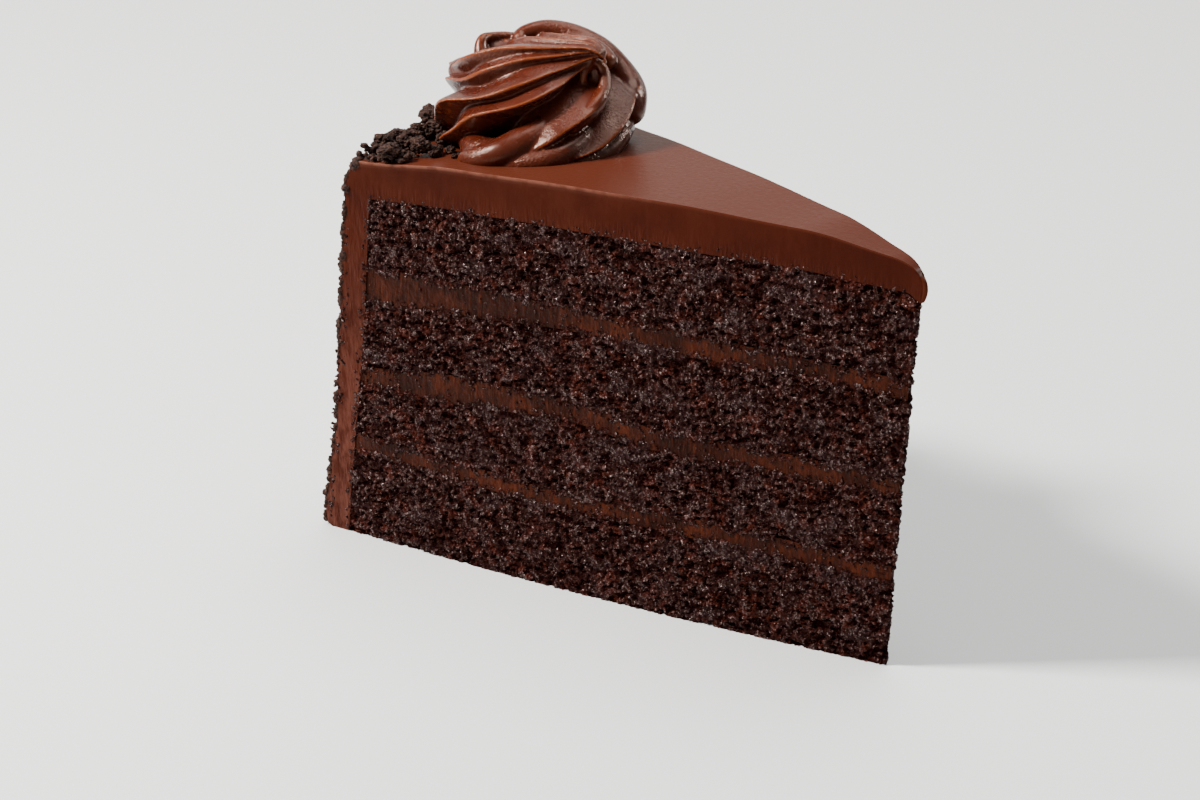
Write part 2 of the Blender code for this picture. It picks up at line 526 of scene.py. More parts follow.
@dataclass(frozen=True)
class SpongeFinish:
    """Moist dark sponge: red-brown on its grains, near black in its pores by painted shade, with
    wet glints partly painted as light specks.
    """

    # pore: painted shade, the colour deep in the sponge's hollows
    pore: Colour = (0.0070, 0.0007, 0.0004)
    body: Colour = (0.0205, 0.0060, 0.0047)
    grain: Colour = (0.0410, 0.0152, 0.0120)
    warm: Colour = (0.0500, 0.0085, 0.0042)
    cool: Colour = (0.0150, 0.0064, 0.0062)
    # painted glint: light specks on high, moist grains
    painted_glint: Colour = (0.3400, 0.2300, 0.2100)
    gloss_tint: Colour = (1.0, 0.74, 0.70)

    def build(self) -> Material:
        """Makes the material."""
        material, g, shader = new_material("sponge")
        place = g.add("ShaderNodeTexCoord").outputs["Object"]
        relief = g.attribute("relief")
        beads = g.math("SUBTRACT", 0.55, g.cells(g.bend(place, 0.9 * MM, 0.9 * MM), 0.72 * MM))
        fine = g.noise(place, 0.5 * MM, 3.0, 0.6)
        height = g.math("ADD", relief, g.math("MULTIPLY", beads, 0.55))
        height = g.math("ADD", height, g.math("MULTIPLY_ADD", fine, 0.7, -0.35))
        # darker the deeper in the relief: painted shade down to near black in the pores, red-brown
        # grain on the highs
        colour = g.mix(g.ramp(height, -0.60, 0.05), self.pore, self.body)
        colour = g.mix(g.ramp(height, 0.10, 0.70, 0.0, 0.85), colour, self.grain)
        patches = g.noise(place, 3.2 * MM, 3.0, 0.6)
        colour = g.mix(g.ramp(patches, 0.48, 0.66, 0.0, 0.7), colour, self.warm)
        colour = g.mix(g.ramp(g.noise(place, *DENSE), 0.50, 0.66, 0.0, 0.55), colour, self.cool)
        # painted glints: light specks on the high beads, in patches, on top of the real gloss
        glint_patches = g.ramp(g.noise(place, 1.3 * MM), 0.50, 0.58)
        painted_glints = g.math("MULTIPLY", g.ramp(beads, 0.34, 0.46), glint_patches)
        colour = g.mix(g.math("MULTIPLY", painted_glints, g.ramp(height, -0.10, 0.40)), colour, self.painted_glint)
        # painted shade: the pores pushed near black
        colour = g.mix(g.ramp(height, -0.50, 0.0, 0.95, 0.0), colour, self.pore)
        g.fill(shader, Base_Color=colour,
               Roughness=g.ramp(g.noise(place, 1.6 * MM), 0.38, 0.60, 0.13, 0.29),
               Specular_IOR_Level=g.ramp(height, -0.10, 0.45, 0.02, 1.0),
               Specular_Tint=(*self.gloss_tint, 1.0),
               Normal=g.bump(1.0, 0.45 * MM, beads, Normal=g.bump(0.8, 0.30 * MM, fine)))
        return material


class Surface(Enum):
    """How a frosting's surface was made."""

    CUT = "cut"
    PIPED = "piped"


@dataclass(frozen=True)
class FrostingFinish:
    """Chocolate frosting or fudge: satin, streaked by the knife where it was cut."""

    name: str
    surface: Surface
    dark: Colour = (0.0270, 0.0034, 0.0012)
    light: Colour = (0.0430, 0.0070, 0.0024)
    # top: the spread top's colour, lighter than the cut faces; part of that lightness is painted
    # sheen
    top: Colour = (0.0620, 0.0138, 0.0066)
    # edge: painted highlight along the edges between the top and the cut faces
    edge: Colour = (0.1500, 0.0450, 0.0260)
    # crest: painted light, the orange glow of light through the piped crests
    crest: Colour = (0.1900, 0.0400, 0.0090)
    gloss_tint: Colour = (1.0, 0.62, 0.46)
    roughness: float = 0.36
    gloss: float = 0.055
    top_gloss: float = 0.039
    translucency: float = 0.0
    pocks: float = 0.18
    pale: Colour = (0.0980, 0.0310, 0.0205)
    paler_foot: float = 0.0
    # share of painted shade that darkens the cut faces towards the tip
    painted_tip_shade: float = 0.0
    sponge: Colour = (0.0120, 0.0036, 0.0028)
    smeared: float = 0.0

    def build(self) -> Material:
        """Makes the material."""
        material, g, shader = new_material(self.name)
        place = g.add("ShaderNodeTexCoord").outputs["Object"]
        clouds = g.noise(place, 14.0 * MM, 3.0)
        colour = g.mix(g.ramp(clouds, 0.30, 0.70), self.dark, self.light)
        g.fill(shader, Specular_IOR_Level=self.gloss, Specular_Tint=(*self.gloss_tint, 1.0),
               Subsurface_Weight=self.translucency, Subsurface_Radius=(1.0, 0.30, 0.12),
               Subsurface_Scale=1.2 * MM)
        if self.surface is Surface.PIPED:
            self.dress_piped(g, shader, place, colour)
        else:
            self.dress_cut(g, shader, place, colour)
        return material

    def dress_cut(self, g: Graph, shader: Node, place: Socket, colour: Socket) -> None:
        """Knife streaks on the cut faces, darkened towards the tip by painted shade, and a smooth
        spread top, lighter in part by painted sheen, with a painted highlight along the edges
        between them.

        Args:
            g: The material's graph.
            shader: Its shader.
            place: Object coordinates.
            colour: The cloudy base colour.
        """
        cut = g.attribute("cut")
        drag = g.attribute("drag")
        streaks = g.noise(place, 0.9 * MM, 3.0, 0.6, (1.0, 1.0, 5.0))
        raised = g.math("MULTIPLY", drag, g.ramp(streaks, 0.50, 0.72, 0.0, 0.8))
        sunk = g.math("MULTIPLY", drag, g.ramp(streaks, 0.50, 0.30, 0.0, 0.7))
        streaked = g.mix(sunk, g.mix(raised, colour, self.light), self.dark)
        smears = g.noise(place, 1.7 * MM, 4.0, 0.65, (1.0, 1.0, 2.6))
        streaked = g.mix(g.ramp(smears, 0.47, 0.56, 0.0, self.smeared), streaked, self.sponge)
        spot = g.add("ShaderNodeSeparateXYZ", Vector=place)
        # painted shade: the cut faces darken towards the tip
        tip_shade = g.ramp(spot.outputs["X"], 0.0, 0.065, 0.0, self.painted_tip_shade)
        streaked = g.mix(tip_shade, streaked, self.dark)
        foot = g.ramp(spot.outputs["Z"], 0.083, 0.022, 0.0, self.paler_foot)
        mottled = g.math("MULTIPLY", foot, g.ramp(smears, 0.38, 0.60, 0.2, 1.5))
        streaked = g.mix(mottled, streaked, self.pale)
        # painted highlight along the edges between the top and the cut faces, broken in places,
        # with extra real gloss there
        broken = g.ramp(g.noise(place, 2.2 * MM, 3.0), 0.30, 0.55, 0.40, 1.0)
        burr = g.math("MULTIPLY", g.attribute("burr"), broken)
        # the top takes its own colour, lighter than the cut faces partly as painted sheen
        colour = g.mix(g.math("MULTIPLY", burr, 0.8), g.mix(cut, self.top, streaked), self.edge)
        shine = g.ramp(cut, 0.0, 1.0, self.top_gloss, self.gloss)
        knife = g.bump(g.math("MULTIPLY_ADD", drag, 0.8, 0.02), 0.4 * MM, streaks)
        pocks = g.noise(place, 1.3 * MM, 4.0, 0.6)
        g.fill(shader, Base_Color=colour,
               Specular_IOR_Level=g.math("MULTIPLY_ADD", burr, 0.5, shine),
               Roughness=g.math("MULTIPLY_ADD", streaks, 0.2, self.roughness - 0.1),
               Normal=g.bump(self.pocks, 0.4 * MM, pocks, Normal=knife))

    def dress_piped(self, g: Graph, shader: Node, place: Socket, colour: Socket) -> None:
        """Warmer, thinner crests painted as light glowing through them, painted shade in the
        valleys, and a faint grain where the ridges left the tube.

        Args:
            g: The material's graph.
            shader: Its shader.
            place: Object coordinates.
            colour: The cloudy base colour.
        """
        edge = g.add("ShaderNodeNewGeometry").outputs["Pointiness"]
        # painted light: the crests glow orange
        colour = g.mix(g.ramp(edge, 0.503, 0.545, 0.0, 0.85), colour, self.crest)
        # painted shade: the valleys between ridges darken
        colour = g.mix(g.ramp(edge, 0.495, 0.45, 0.0, 0.55), colour, self.dark)
        patches = g.ramp(g.noise(place, 7.0 * MM), 0.40, 0.60, 0.10, 0.75)
        wet = g.noise(place, 4.0 * MM)
        grain = g.noise(place, 0.6 * MM, 3.0, 0.6)
        g.fill(shader, Base_Color=colour, Normal=g.bump(patches, 0.3 * MM, grain),
               Roughness=g.ramp(wet, 0.35, 0.65, self.roughness - 0.05, self.roughness + 0.08))


def frosting_finish() -> Material:
    """The frosting on the top and round the rim."""
    # the cut faces get painted shade towards the tip
    return FrostingFinish("cut frosting", Surface.CUT, paler_foot=0.42, painted_tip_shade=0.7).build()


def fudge_finish() -> Material:
    """The fudge between the sponges, darker and duller."""
    return FrostingFinish("fudge", Surface.CUT, dark=(0.0090, 0.0014, 0.0007),
                          light=(0.0500, 0.0098, 0.0036), roughness=0.34, gloss=0.06, pocks=1.0,
                          smeared=0.5).build()


def piped_finish() -> Material:
    """The glossier frosting of the rosette."""
    return FrostingFinish("piped frosting", Surface.PIPED, dark=(0.0480, 0.0068, 0.0026),
                          light=(0.0680, 0.0120, 0.0053), gloss_tint=(1.0, 0.66, 0.52),
                          roughness=0.26, gloss=0.34, translucency=0.2).build()


@dataclass(frozen=True)
class CookieFinish:
    """Dry cookie crumb, black-brown with greyer high grains."""

    deep: Colour = (0.0020, 0.0006, 0.0003)
    body: Colour = (0.0330, 0.0135, 0.0090)
    dusty: Colour = (0.1200, 0.0620, 0.0430)

    def build(self) -> Material:
        """Makes the material."""
        material, g, shader = new_material("cookie crumb")
        place = g.add("ShaderNodeTexCoord").outputs["Object"]
        grain = g.noise(place, 0.7 * MM, 4.0, 0.65)
        colour = g.mix(g.ramp(grain, 0.34, 0.54), self.deep, self.body)
        colour = g.mix(g.ramp(grain, 0.54, 0.74, 0.0, 0.9), colour, self.dusty)
        g.fill(shader, Base_Color=colour, Roughness=0.62, Specular_IOR_Level=0.10,
               Normal=g.bump(0.9, 0.35 * MM, grain))
        return material


# ---- the wedge


@dataclass
class Wedge:
    """The wedge that every layer lies on, as wide, lean and bowed as the frame's solids."""

    cut_length: float = 0.140
    half_angle: float = math.pi / 14
    tip_blunting: float = 0.0013
    lean: float = 0.0079
    flare: float = 0.0037
    flat: float = 0.100
    front_bow: float = 0.0026
    bow_height: float = 0.045
    apex_x: float = 0.0678
    apex_y: float = -0.0006
    rim_reach: float = 0.0014
    rim_depth: float = 0.0046

    @property
    def half_width(self) -> float:
        """Half the width of the wedge at its rim, along the round."""
        return self.cut_length * self.half_angle

    def place(self, radius: Number, t: Number, z: Number) -> Array:
        """Finds points of the wedge.

        Args:
            radius: Distances from the tip.
            t: Shares across, from -1 to 1.
            z: Heights.

        Returns:
            The points, one row each.
        """
        u = 1.0 - radius / self.cut_length
        angle = t * self.half_angle
        lean = (self.lean + self.flare * (0.5 - u)) * z / self.flat
        belly = np.sin(math.pi * np.clip(u, 0.0, 1.0))
        belly = belly * np.clip(1.0 - z / self.bow_height, 0.0, 1.0) ** 1.5
        across = self.tip_blunting * (t + 1.0) / 2.0 - self.front_bow * belly * (1.0 - t) / 2.0
        x = self.apex_x - radius * np.cos(angle) + lean
        y = self.apex_y + radius * np.sin(angle) + across
        return np.stack([x, y, z], axis=-1)

    def outward(self, radius: Number, t: Number) -> Array:
        """Finds the directions in which the cut faces and the rounded tip look.

        Args:
            radius: Distances from the tip.
            t: Shares across, from -1 to 1.

        Returns:
            The directions, one row each.
        """
        turn = math.pi / 2 - self.half_angle
        nose = smooth_step(1.0 - radius / (2.0 * self.tip_blunting))
        side = np.sign(t) * (1.0 - nose) + t * nose
        angle = side * turn
        return np.stack([np.cos(angle), np.sin(angle), np.zeros_like(t)], axis=-1)

    def rim_inside(self, z: Number) -> Number:
        """Radius of the sponge under the rim frosting."""
        return self.cut_length - self.rim_depth + 0.0018 * (1.0 - smooth_step(z / 0.060))

    def rim_outside(self, z: Number) -> Number:
        """Outer radius of the rim frosting, swollen and rounded at its foot."""
        swell = 0.0022 * (1.0 - smooth_step(z / 0.030))
        under = np.clip(1.0 - z / 0.0035, 0.0, 1.0)
        tucked = 0.0021 * (1.0 - np.sqrt(1.0 - under * under))
        return self.cut_length + self.rim_reach + swell - tucked


@dataclass(frozen=True)
class Boundaries:
    """Heights of the boundaries between layers, at even steps from the rim to the tip."""

    board: tuple[float, ...] = (0.0,) * 6
    lower_foot: tuple[float, ...] = (0.0215, 0.0206, 0.0196, 0.0203, 0.0201, 0.0198)
    lower_top: tuple[float, ...] = (0.0247, 0.0231, 0.0220, 0.0230, 0.0230, 0.0226)
    middle_foot: tuple[float, ...] = (0.0384, 0.0389, 0.0410, 0.0383, 0.0394, 0.0400)
    middle_top: tuple[float, ...] = (0.0414, 0.0439, 0.0440, 0.0415, 0.0426, 0.0426)
    upper_foot: tuple[float, ...] = (0.0588, 0.0607, 0.0622, 0.0617, 0.0625, 0.0621)
    upper_top: tuple[float, ...] = (0.0660, 0.0660, 0.0658, 0.0654, 0.0649, 0.0646)
    frosting_foot: tuple[float, ...] = (0.0836, 0.0848, 0.0852, 0.0854, 0.0860, 0.0853)
    frosting_top: tuple[float, ...] = (0.0914, 0.0935, 0.0943, 0.0945, 0.0940, 0.0912)

    @property
    def sponges(self) -> tuple[Rows, ...]:
        """Foot and top of each sponge, from the board up."""
        return ((self.board, self.lower_foot), (self.lower_top, self.middle_foot),
                (self.middle_top, self.upper_foot), (self.upper_top, self.frosting_foot))

    @property
    def fillings(self) -> tuple[Rows, ...]:
        """Foot and top of each filling, from the lowest up."""
        return ((self.lower_foot, self.lower_top), (self.middle_foot, self.middle_top),
                (self.upper_foot, self.upper_top))


# ---- layers


@dataclass
class SpongeLayer:
    """One layer of sponge, with open crumb on its cut faces that spills over the fillings."""

    wedge: Wedge
    number: int
    foot: tuple[float, ...]
    top: tuple[float, ...]
    tree: Tree
    spill: float = 1.3 * MM
    sink: float = 0.75 * MM
    recess: float = -0.10 * MM
    cell: float = 0.27 * MM

    def lay(self, obj: Piece) -> None:
        """Lays the unit block on the wedge and marks where its crumb is exposed.

        Args:
            obj: The block.
        """
        u, t, w = block_places(obj)
        on_board = self.foot[0] == 0.0
        low = along(self.foot, u) - (0.0 if on_board else self.spill)
        high = along(self.top, u) + self.spill
        z = low + (high - low) * w
        radius = (self.wedge.rim_inside(z) + self.spill) * (1.0 - u)
        points = self.wedge.place(radius, t, z)
        outward = self.wedge.outward(radius, t)
        wave = ragged(radius / MM, self.number + 0.5 * np.sign(t), 0.45 * MM)
        rise = ragged(z / MM, self.number + 3.0 + 0.5 * np.sign(t), 0.40 * MM)
        above = z - along(self.foot, u) + (1.0 if on_board else wave)
        below = along(self.top, u) - z + np.roll(wave, 7)
        margin = np.minimum(np.minimum(above, below), self.wedge.rim_inside(z) - radius + rise)
        sunk = self.sink * smooth_step((0.2 * self.spill - margin) / (1.1 * self.spill))
        sunk += self.recess
        edge = smooth_step((np.abs(t) - 0.9) / 0.1)
        nose = smooth_step(1.0 - radius / (1.5 * self.wedge.tip_blunting))
        shown = np.maximum(edge, nose)
        points -= outward * (sunk * shown)[:, None]
        arch = np.sqrt(np.clip(1.0 - t * t, 0.0, 1.0))
        points[:, 0] += self.wedge.tip_blunting * 0.5 * nose * arch
        lay_out(obj, points, outward=outward, exposed=shown)

    def build(self, material: Material) -> None:
        """Builds and dresses the layer.

        Args:
            material: Its finish.
        """
        tall = self.top[2] - self.foot[2] + 2.0 * self.spill
        obj = unit_block(f"crumb_{self.number}", round(self.wedge.cut_length / self.cell), 6,
                         round(tall / self.cell))
        self.lay(obj)
        add_relief(obj, self.tree)
        close_and_shade(obj, 80.0)
        finish_piece(obj, material, "sponge", f"sponge_{self.number}")


@dataclass(frozen=True)
class CrumbRelief:
    """The relief of torn, open sponge, in millimetres."""

    clump: float = 2.1
    clump_height: float = 0.38
    grain: float = 0.80
    grain_height: float = 0.68
    pore: float = 1.5
    pore_depth: float = 0.78
    tear: float = 4.6
    tear_depth: float = 0.14

    def build(self) -> Tree:
        """Makes the Geometry Nodes tree."""
        tree, g, geometry = geometry_tree("open crumb")
        here = g.add("GeometryNodeInputPosition").outputs[0]
        bent = g.bend(here, 1.1 * MM, 1.5 * MM)
        clumps = g.math("SUBTRACT", 0.45, g.cells(bent, self.clump * MM))
        grains = g.math("SUBTRACT", 0.42, g.cells(bent, self.grain * MM))
        pores = g.noise(bent, self.pore * MM, 3.0, 0.6, (1.25, 1.25, 0.85))
        pits = g.ramp(pores, 0.36, 0.49, -self.pore_depth, 0.0)
        tears = g.noise(bent, self.tear * MM, 2.0, 0.5, (1.6, 1.6, 0.45))
        rips = g.ramp(tears, 0.34, 0.44, -self.tear_depth, 0.0)
        height = g.math("MULTIPLY_ADD", clumps, self.clump_height,
                        g.math("MULTIPLY", grains, self.grain_height))
        calm = g.ramp(g.noise(here, *DENSE), 0.50, 0.66, 1.0, 0.45)
        height = g.math("MULTIPLY", g.math("ADD", height, pits), calm)
        height = g.math("ADD", height, rips)
        raise_relief(g, geometry, height)
        return tree


@dataclass(frozen=True)
class KnifeRelief:
    """The relief of smooth frosting that a knife has dragged down, in millimetres."""

    streak: float = 1.1
    streak_height: float = 0.16
    wave: float = 9.0
    wave_height: float = 0.25

    def build(self) -> Tree:
        """Makes the Geometry Nodes tree."""
        tree, g, geometry = geometry_tree("knife marks")
        here = g.add("GeometryNodeInputPosition").outputs[0]
        streaks = g.noise(here, self.streak * MM, 3.0, 0.5, (1.0, 1.0, 7.0))
        waves = g.noise(here, self.wave * MM, 2.0)
        height = g.math("MULTIPLY_ADD", g.math("SUBTRACT", streaks, 0.5), self.streak_height,
                        g.math("MULTIPLY", g.math("SUBTRACT", waves, 0.5), self.wave_height))
        raise_relief(g, geometry, height)
        return tree


@dataclass
class Filling:
    """One thin layer of fudge between two sponges."""

    wedge: Wedge
    number: int
    foot: tuple[float, ...]
    top: tuple[float, ...]
    tree: Tree
    tuck: float = 0.9 * MM

    def build(self, material: Material) -> None:
        """Builds and dresses the filling, tucked a little into both sponges.

        Args:
            material: Its finish.
        """
        obj = unit_block(f"fudge_{self.number}", 320, 6, 12)
        u, t, w = block_places(obj)
        low = along(self.foot, u) - self.tuck
        high = along(self.top, u) + self.tuck
        z = low + (high - low) * w
        radius = self.wedge.rim_inside(z) * (1.0 - u)
        points = self.wedge.place(radius, t, z)
        outward = self.wedge.outward(radius, t)
        shown = smooth_step((np.abs(t) - 0.9) / 0.1)
        points -= outward * (shown * 0.25 * MM)[:, None]
        whole = np.ones_like(u)
        lay_out(obj, points, outward=outward, exposed=shown, cut=whole, drag=whole)
        add_relief(obj, self.tree)
        close_and_shade(obj)
        finish_piece(obj, material, "fudge", f"filling_{self.number}")


@dataclass
class TopFrosting:
    """The thick frosting on top, with crisp cut edges and a lip that hangs over the tip."""

    wedge: Wedge
    heights: Boundaries
    tree: Tree
    overhang: float = 2.0 * MM
    drop: float = 1.6 * MM
    roll_drop: float = 3.2 * MM
    rim_rounding: float = 3.0 * MM
    tuck: float = 0.8 * MM

    def build(self, material: Material) -> None:
        """Builds and dresses the frosting.

        Args:
            material: Its finish.
        """
        obj = unit_block("frosting_top", 380, 18, 12)
        u, t, w = block_places(obj)
        nose = smooth_step((u - 0.985) / 0.015)
        low = along(self.heights.frosting_foot, u) - self.tuck
        high = along(self.heights.frosting_top, u)
        roll = np.clip((u - 0.945) / 0.055, 0.0, 1.0)
        high -= self.roll_drop * (1.0 - np.sqrt(1.0 - roll ** 2.4 * 0.98))
        z = low + (high - low) * w
        rim = self.wedge.cut_length + self.wedge.rim_reach - self.rim_rounding * w ** 3
        points = self.wedge.place(rim * (1.0 - u), t, z)
        arch = np.sqrt(np.clip(1.0 - (0.9 * t) ** 2, 0.0, 1.0))
        bulge = np.sqrt(np.clip(1.0 - ((w - 0.42) / 0.60) ** 2, 0.0, 1.0))
        points[:, 0] += self.overhang * nose * (bulge - 0.25) / 0.75 * (0.35 + 0.65 * arch)
        points[:, 2] -= self.drop * nose * (1.0 - w) ** 1.6
        outward = self.wedge.outward(rim * (1.0 - u), t)
        shown = smooth_step((np.abs(t) - 0.9) / 0.1)
        face = np.abs(t) - 0.985
        lay_out(obj, points, outward=outward, exposed=shown * (1.0 - nose),
                cut=smooth_step(face / 0.01) * smooth_step((0.985 - w) / 0.03),
                drag=shown * smooth_step((0.55 - w) / 0.45),
                # where the painted highlight runs along the top's cut edges
                burr=smooth_step(face / 0.012) * smooth_step((w - 0.90) / 0.08)
                * smooth_step((0.62 - u) / 0.25))
        add_relief(obj, self.tree)
        self.round_edges(obj, np.abs(t) > 0.999, w > 0.999)
        close_and_shade(obj, 60.0)
        finish_piece(obj, material, "frosting", "top_frosting")

    @staticmethod
    def round_edges(obj: Piece, side: Array, lid: Array) -> None:
        """Rounds the edges that run between the top and the cut faces.

        Args:
            obj: The frosting.
            side: Which points lie on a cut face.
            lid: Which points lie on the top.
        """
        ends = np.empty(len(obj.data.edges) * 2, dtype=np.int32)
        obj.data.edges.foreach_get("vertices", ends)
        both = (side & lid)[ends.reshape(-1, 2)].all(axis=1)
        weights = obj.data.attributes.new("bevel_weight_edge", "FLOAT", "EDGE")
        weights.data.foreach_set("value", both.astype(float))
        bevel = obj.modifiers.new("rounded edge", "BEVEL")
        bevel.width = 0.30 * MM
        bevel.segments = 3
        bevel.limit_method = "WEIGHT"
        apply_modifiers(obj)


@dataclass
class RimFrosting:
    """The frosting round the outside of the cake, uneven under its crumbs."""

    wedge: Wedge
    heights: Boundaries
    tree: Tree
    tuck: float = 0.6 * MM

    def build(self, material: Material) -> None:
        """Builds and dresses the frosting.

        Args:
            material: Its finish.
        """
        obj = unit_block("frosting_rim", 150, 90, 10)
        up, t, w = points_of(obj).T
        z = (self.heights.frosting_foot[0] + 0.3 * MM) * up
        inside = self.wedge.rim_inside(z) - self.tuck
        radius = inside + (self.wedge.rim_outside(z) - inside) * w
        points = self.wedge.place(radius, t, z)
        outward = self.wedge.outward(radius, t)
        outer = smooth_step((w - 0.9) / 0.1)
        angle = t * self.wedge.half_angle
        round_wall = np.stack([-np.cos(angle), np.sin(angle), np.zeros_like(t)], axis=1)
        outward = outward * (1.0 - outer)[:, None] + round_wall * outer[:, None]
        cut = smooth_step((np.abs(t) - 0.97) / 0.03)
        shown = np.maximum(cut, outer)
        lay_out(obj, points, outward=outward, cut=cut, drag=cut,
                exposed=shown * (1.0 + 2.0 * outer) * smooth_step(z / (4.0 * MM)))
        add_relief(obj, self.tree)
        close_and_shade(obj, 60.0)
        finish_piece(obj, material, "frosting", "side_frosting")


# ---- rosette


def smooth_path(stations: Rows, share: float) -> tuple[float, ...]:
    """A place on the smooth curve through evenly spaced stations.

    Args:
        stations: The numbers at each station.
        share: Where on the curve, from 0 to 1.

    Returns:
        The numbers at that place.
    """
    last = len(stations) - 1
    place = min(max(share, 0.0), 1.0) * last
    i = min(int(place), last - 1)
    f = place - i
    a, b, c, d = (stations[min(max(k, 0), last)] for k in (i - 1, i, i + 1, i + 2))
    return tuple(0.5 * (2 * q + (r - p) * f + (2 * p - 5 * q + 4 * r - s) * f * f
                        + (3 * q - p - 3 * r + s) * f ** 3)
                 for p, q, r, s in zip(a, b, c, d))


@dataclass
class Rosette:
    """A piped rosette: a twisted star pulled to an eye, with the first turn of the coil behind it.

    Its own axes run to the right of the slice's open side, away from it, and up, in millimetres.
    """

    x: float = -0.0349
    y: float = 0.0040
    floor: float = 0.0922
    heading: float = math.radians(43.2)
    ridge_points: int = 24
    depth: float = 0.29
    eye_depth: float = 0.46
    sharpness: float = 1.25
    rings: int = 260
    eye_heading: float = math.radians(-36.0)
    drop_shift: tuple[float, float] = (-1.11, 2.40)
    coil_ridges: int = 9
    fold_steps: int = 160
    outline_reach: float = 10.0 * MM
    voxel: float = 0.31 * MM
    # direction of each ridge in degrees, and how far it stands out
    ridges: Rows = (
        (38.0, 0.74), (80.0, 1.077), (106.9, 0.915), (145.2, 0.999), (172.6, 0.962),
        (229.2, 0.969), (263.9, 1.04), (310.0, 0.86), (354.0, 0.74),
    )
    # radius, height, offset to the eye, tilt in degrees, twist in degrees
    drop: Rows = (
        (19.5, -2.4, -2.8, -3.6, -3.8), (22.6, 0.4, -2.0, -1.4, 12.8),
        (23.5, 5.3, -0.4, 3.2, 38.5), (23.5, 11.2, -0.7, 5.7, 60.7), (20.0, 14.6, 0.9, 4.0, 83.5),
        (16.2, 18.1, 1.5, 9.6, 103.4), (11.2, 21.1, 4.2, 19.9, 119.3),
        (6.2, 22.9, 9.1, 31.9, 135.4), (3.2, 24.0, 14.2, 48.6, 147.0),
        (1.6, 23.3, 17.0, 72.1, 155.1), (0.9, 21.5, 17.6, 95.0, 159.4),
        (0.2, 20.0, 18.0, 110.0, 161.5),
    )
    # depth of the fold's own ridges, then right, away, up and radius at each station
    folds: tuple[tuple[float, Rows], ...] = (
        # body of the coil
        (0.14, ((9.0, -10.0, 3.0, 4.0), (13.0, -3.0, 6.0, 7.0), (12.0, 3.0, 9.0, 8.4),
                (8.0, 7.0, 12.5, 8.6), (2.0, 8.5, 14.0, 8.2), (-4.0, 7.5, 14.5, 7.0),
                (-9.0, 4.0, 13.0, 6.0), (-9.0, -1.0, 9.0, 5.0))),
        # outer turn of the coil
        (0.0, ((-5.0, 6.0, 20.9, 1.4), (-5.6, 7.0, 21.8, 1.7), (-5.3, 8.5, 22.4, 2.0),
               (-2.8, 9.5, 23.2, 2.2), (1.2, 10.0, 23.4, 2.4), (6.4, 9.0, 22.3, 2.7),
               (12.0, 7.0, 19.7, 3.0), (16.1, 4.5, 16.0, 3.2), (18.6, 1.5, 12.6, 3.5),
               (19.0, -1.5, 10.1, 3.5), (18.2, -4.0, 5.6, 3.2))),
        # inner turn
        (0.0, ((-3.2, 3.0, 19.4, 0.9), (-1.2, 4.5, 20.6, 1.2), (1.5, 5.5, 21.5, 1.4),
               (5.9, 5.5, 22.2, 1.6), (9.6, 4.5, 21.7, 1.8), (12.6, 3.0, 20.0, 2.0),
               (14.8, 0.5, 17.6, 2.0))),
        # small turn at the left
        (0.0, ((-13.6, 3.0, 18.0, 2.0), (-14.3, 4.5, 20.4, 1.6), (-13.9, 6.0, 22.3, 1.3),
               (-12.1, 7.5, 22.5, 1.2), (-8.5, 9.0, 22.2, 1.2), (-6.1, 9.5, 21.1, 1.6))),
        # body of that turn
        (0.0, ((-12.0, 5.0, 16.5, 3.6), (-10.5, 8.5, 18.6, 3.6), (-5.5, 11.0, 18.8, 4.2))),
        # loop round the eye
        (0.0, ((8.4, -6.5, 15.7, 0.8), (8.6, -6.3, 17.9, 0.9), (9.5, -6.0, 19.6, 1.0),
               (10.9, -5.8, 20.4, 1.0), (12.3, -5.8, 19.6, 1.1), (13.2, -6.3, 17.5, 1.3),
               (13.0, -8.5, 14.9, 1.6), (11.4, -11.5, 12.6, 1.8), (8.8, -14.0, 10.4, 1.8),
               (4.7, -16.5, 8.3, 1.6))),
        # fill behind the loop
        (0.0, ((12.0, -3.6, 8.0, 2.8), (12.2, -3.8, 13.0, 2.6), (11.3, -4.0, 17.0, 1.9),
               (10.9, -4.4, 20.2, 1.2))),
        # fin at the far left
        (0.0, ((-21.2, 12.0, 13.0, 2.3), (-18.6, 9.5, 14.4, 2.9), (-16.2, 6.5, 15.6, 3.1),
               (-11.8, 2.0, 18.2, 2.8), (-6.6, -2.0, 20.2, 2.0))),
        # fill under the small turn
        (0.0, ((-13.0, 9.5, 19.6, 2.4), (-10.2, 10.2, 20.0, 2.8), (-7.1, 10.8, 20.0, 2.6))),
        # left lobe of the foot
        (0.0, ((-18.6, -13.6, 0.9, 1.7), (-14.4, -16.6, 1.5, 3.0), (-9.2, -17.6, 3.2, 3.7),
               (-3.6, -15.6, 5.4, 3.8), (1.0, -12.8, 7.6, 3.2), (6.0, -11.0, 9.0, 2.6),
               (10.0, -9.0, 12.0, 2.0))),
        # middle lobe of the foot
        (0.0, ((-10.4, -18.6, 0.4, 2.0), (-4.4, -19.4, 1.2, 2.7), (3.6, -17.8, 2.8, 3.1),
               (11.0, -10.5, 7.0, 2.2), (14.0, -7.0, 10.0, 2.0))),
        # right lobe of the foot
        (0.0, ((5.0, -17.4, 0.6, 2.0), (9.2, -16.0, 1.2, 2.6), (14.0, -12.4, 2.5, 2.5),
               (17.8, -7.0, 5.9, 2.2))),
        # round of the foot
        (0.0, ((-17.0, -1.0, 2.5, 3.0), (-15.6, -7.0, 2.6, 3.4), (-13.6, -14.0, 2.2, 3.7),
               (-7.6, -16.2, 2.4, 3.6), (-1.0, -16.2, 2.2, 3.3), (5.5, -15.0, 2.2, 3.2),
               (11.5, -12.0, 2.8, 3.2))),
    )

